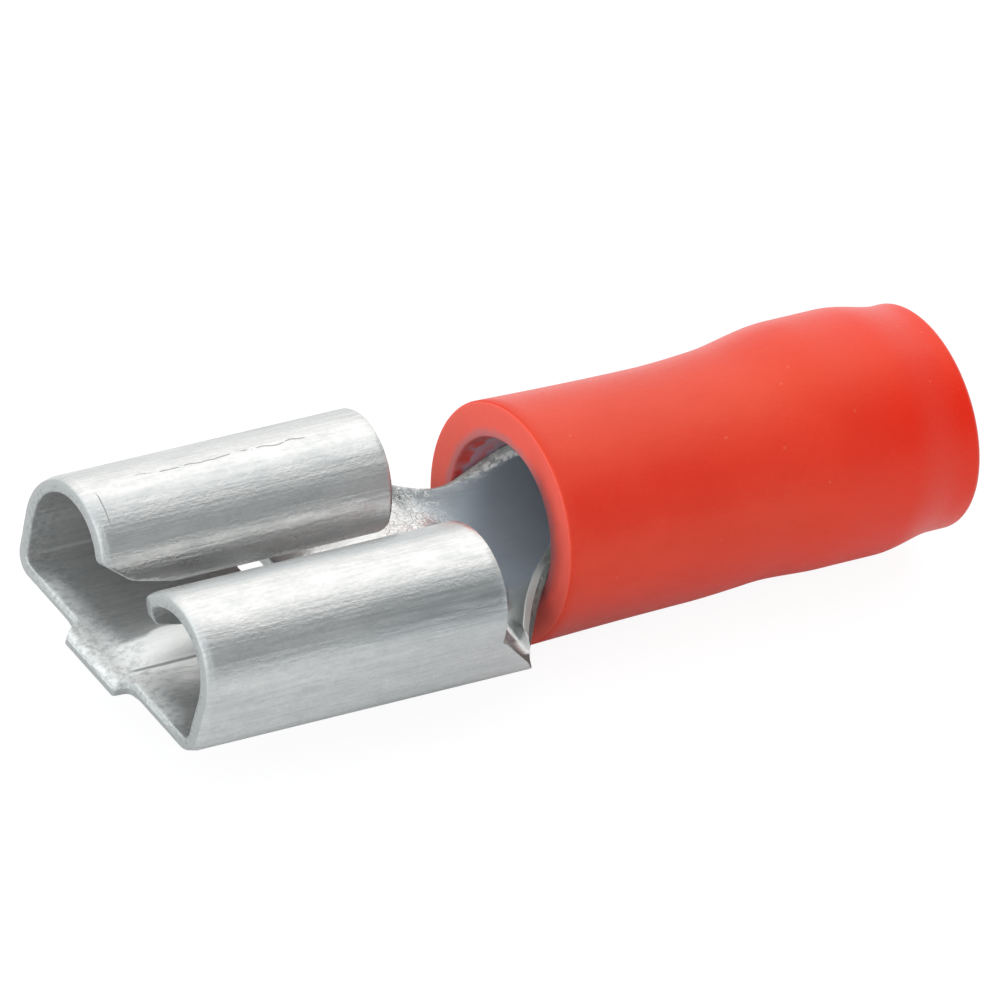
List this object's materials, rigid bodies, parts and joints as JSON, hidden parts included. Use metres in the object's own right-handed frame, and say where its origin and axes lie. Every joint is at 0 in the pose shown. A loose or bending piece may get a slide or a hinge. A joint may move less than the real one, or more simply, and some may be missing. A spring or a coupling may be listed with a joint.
{
  "type": "female spade connector",
  "caption": "Insulated push-on receptacle that grips a flat blade between two rolled edges, with a sleeved barrel for crimping onto a wire.",
  "frame": {"origin": "underside of the receptacle's flat floor, midway between the two rolls, level with their front edges", "axes": "+X from the blade's mouth towards the wire end, along the barrel; +Y across the blade; +Z away from the floor, towards the open side between the rolls"},
  "size_m": [0.0216, 0.0074, 0.0057],
  "materials": {
    "tinned_brass": "bright tin plating with fine lengthwise rolling marks",
    "red_pvc": "soft satin"
  },
  "bodies": {
    "root": {"terminal": "tinned_brass", "insulating_sleeve": "red_pvc"}
  },
  "joints": []
}
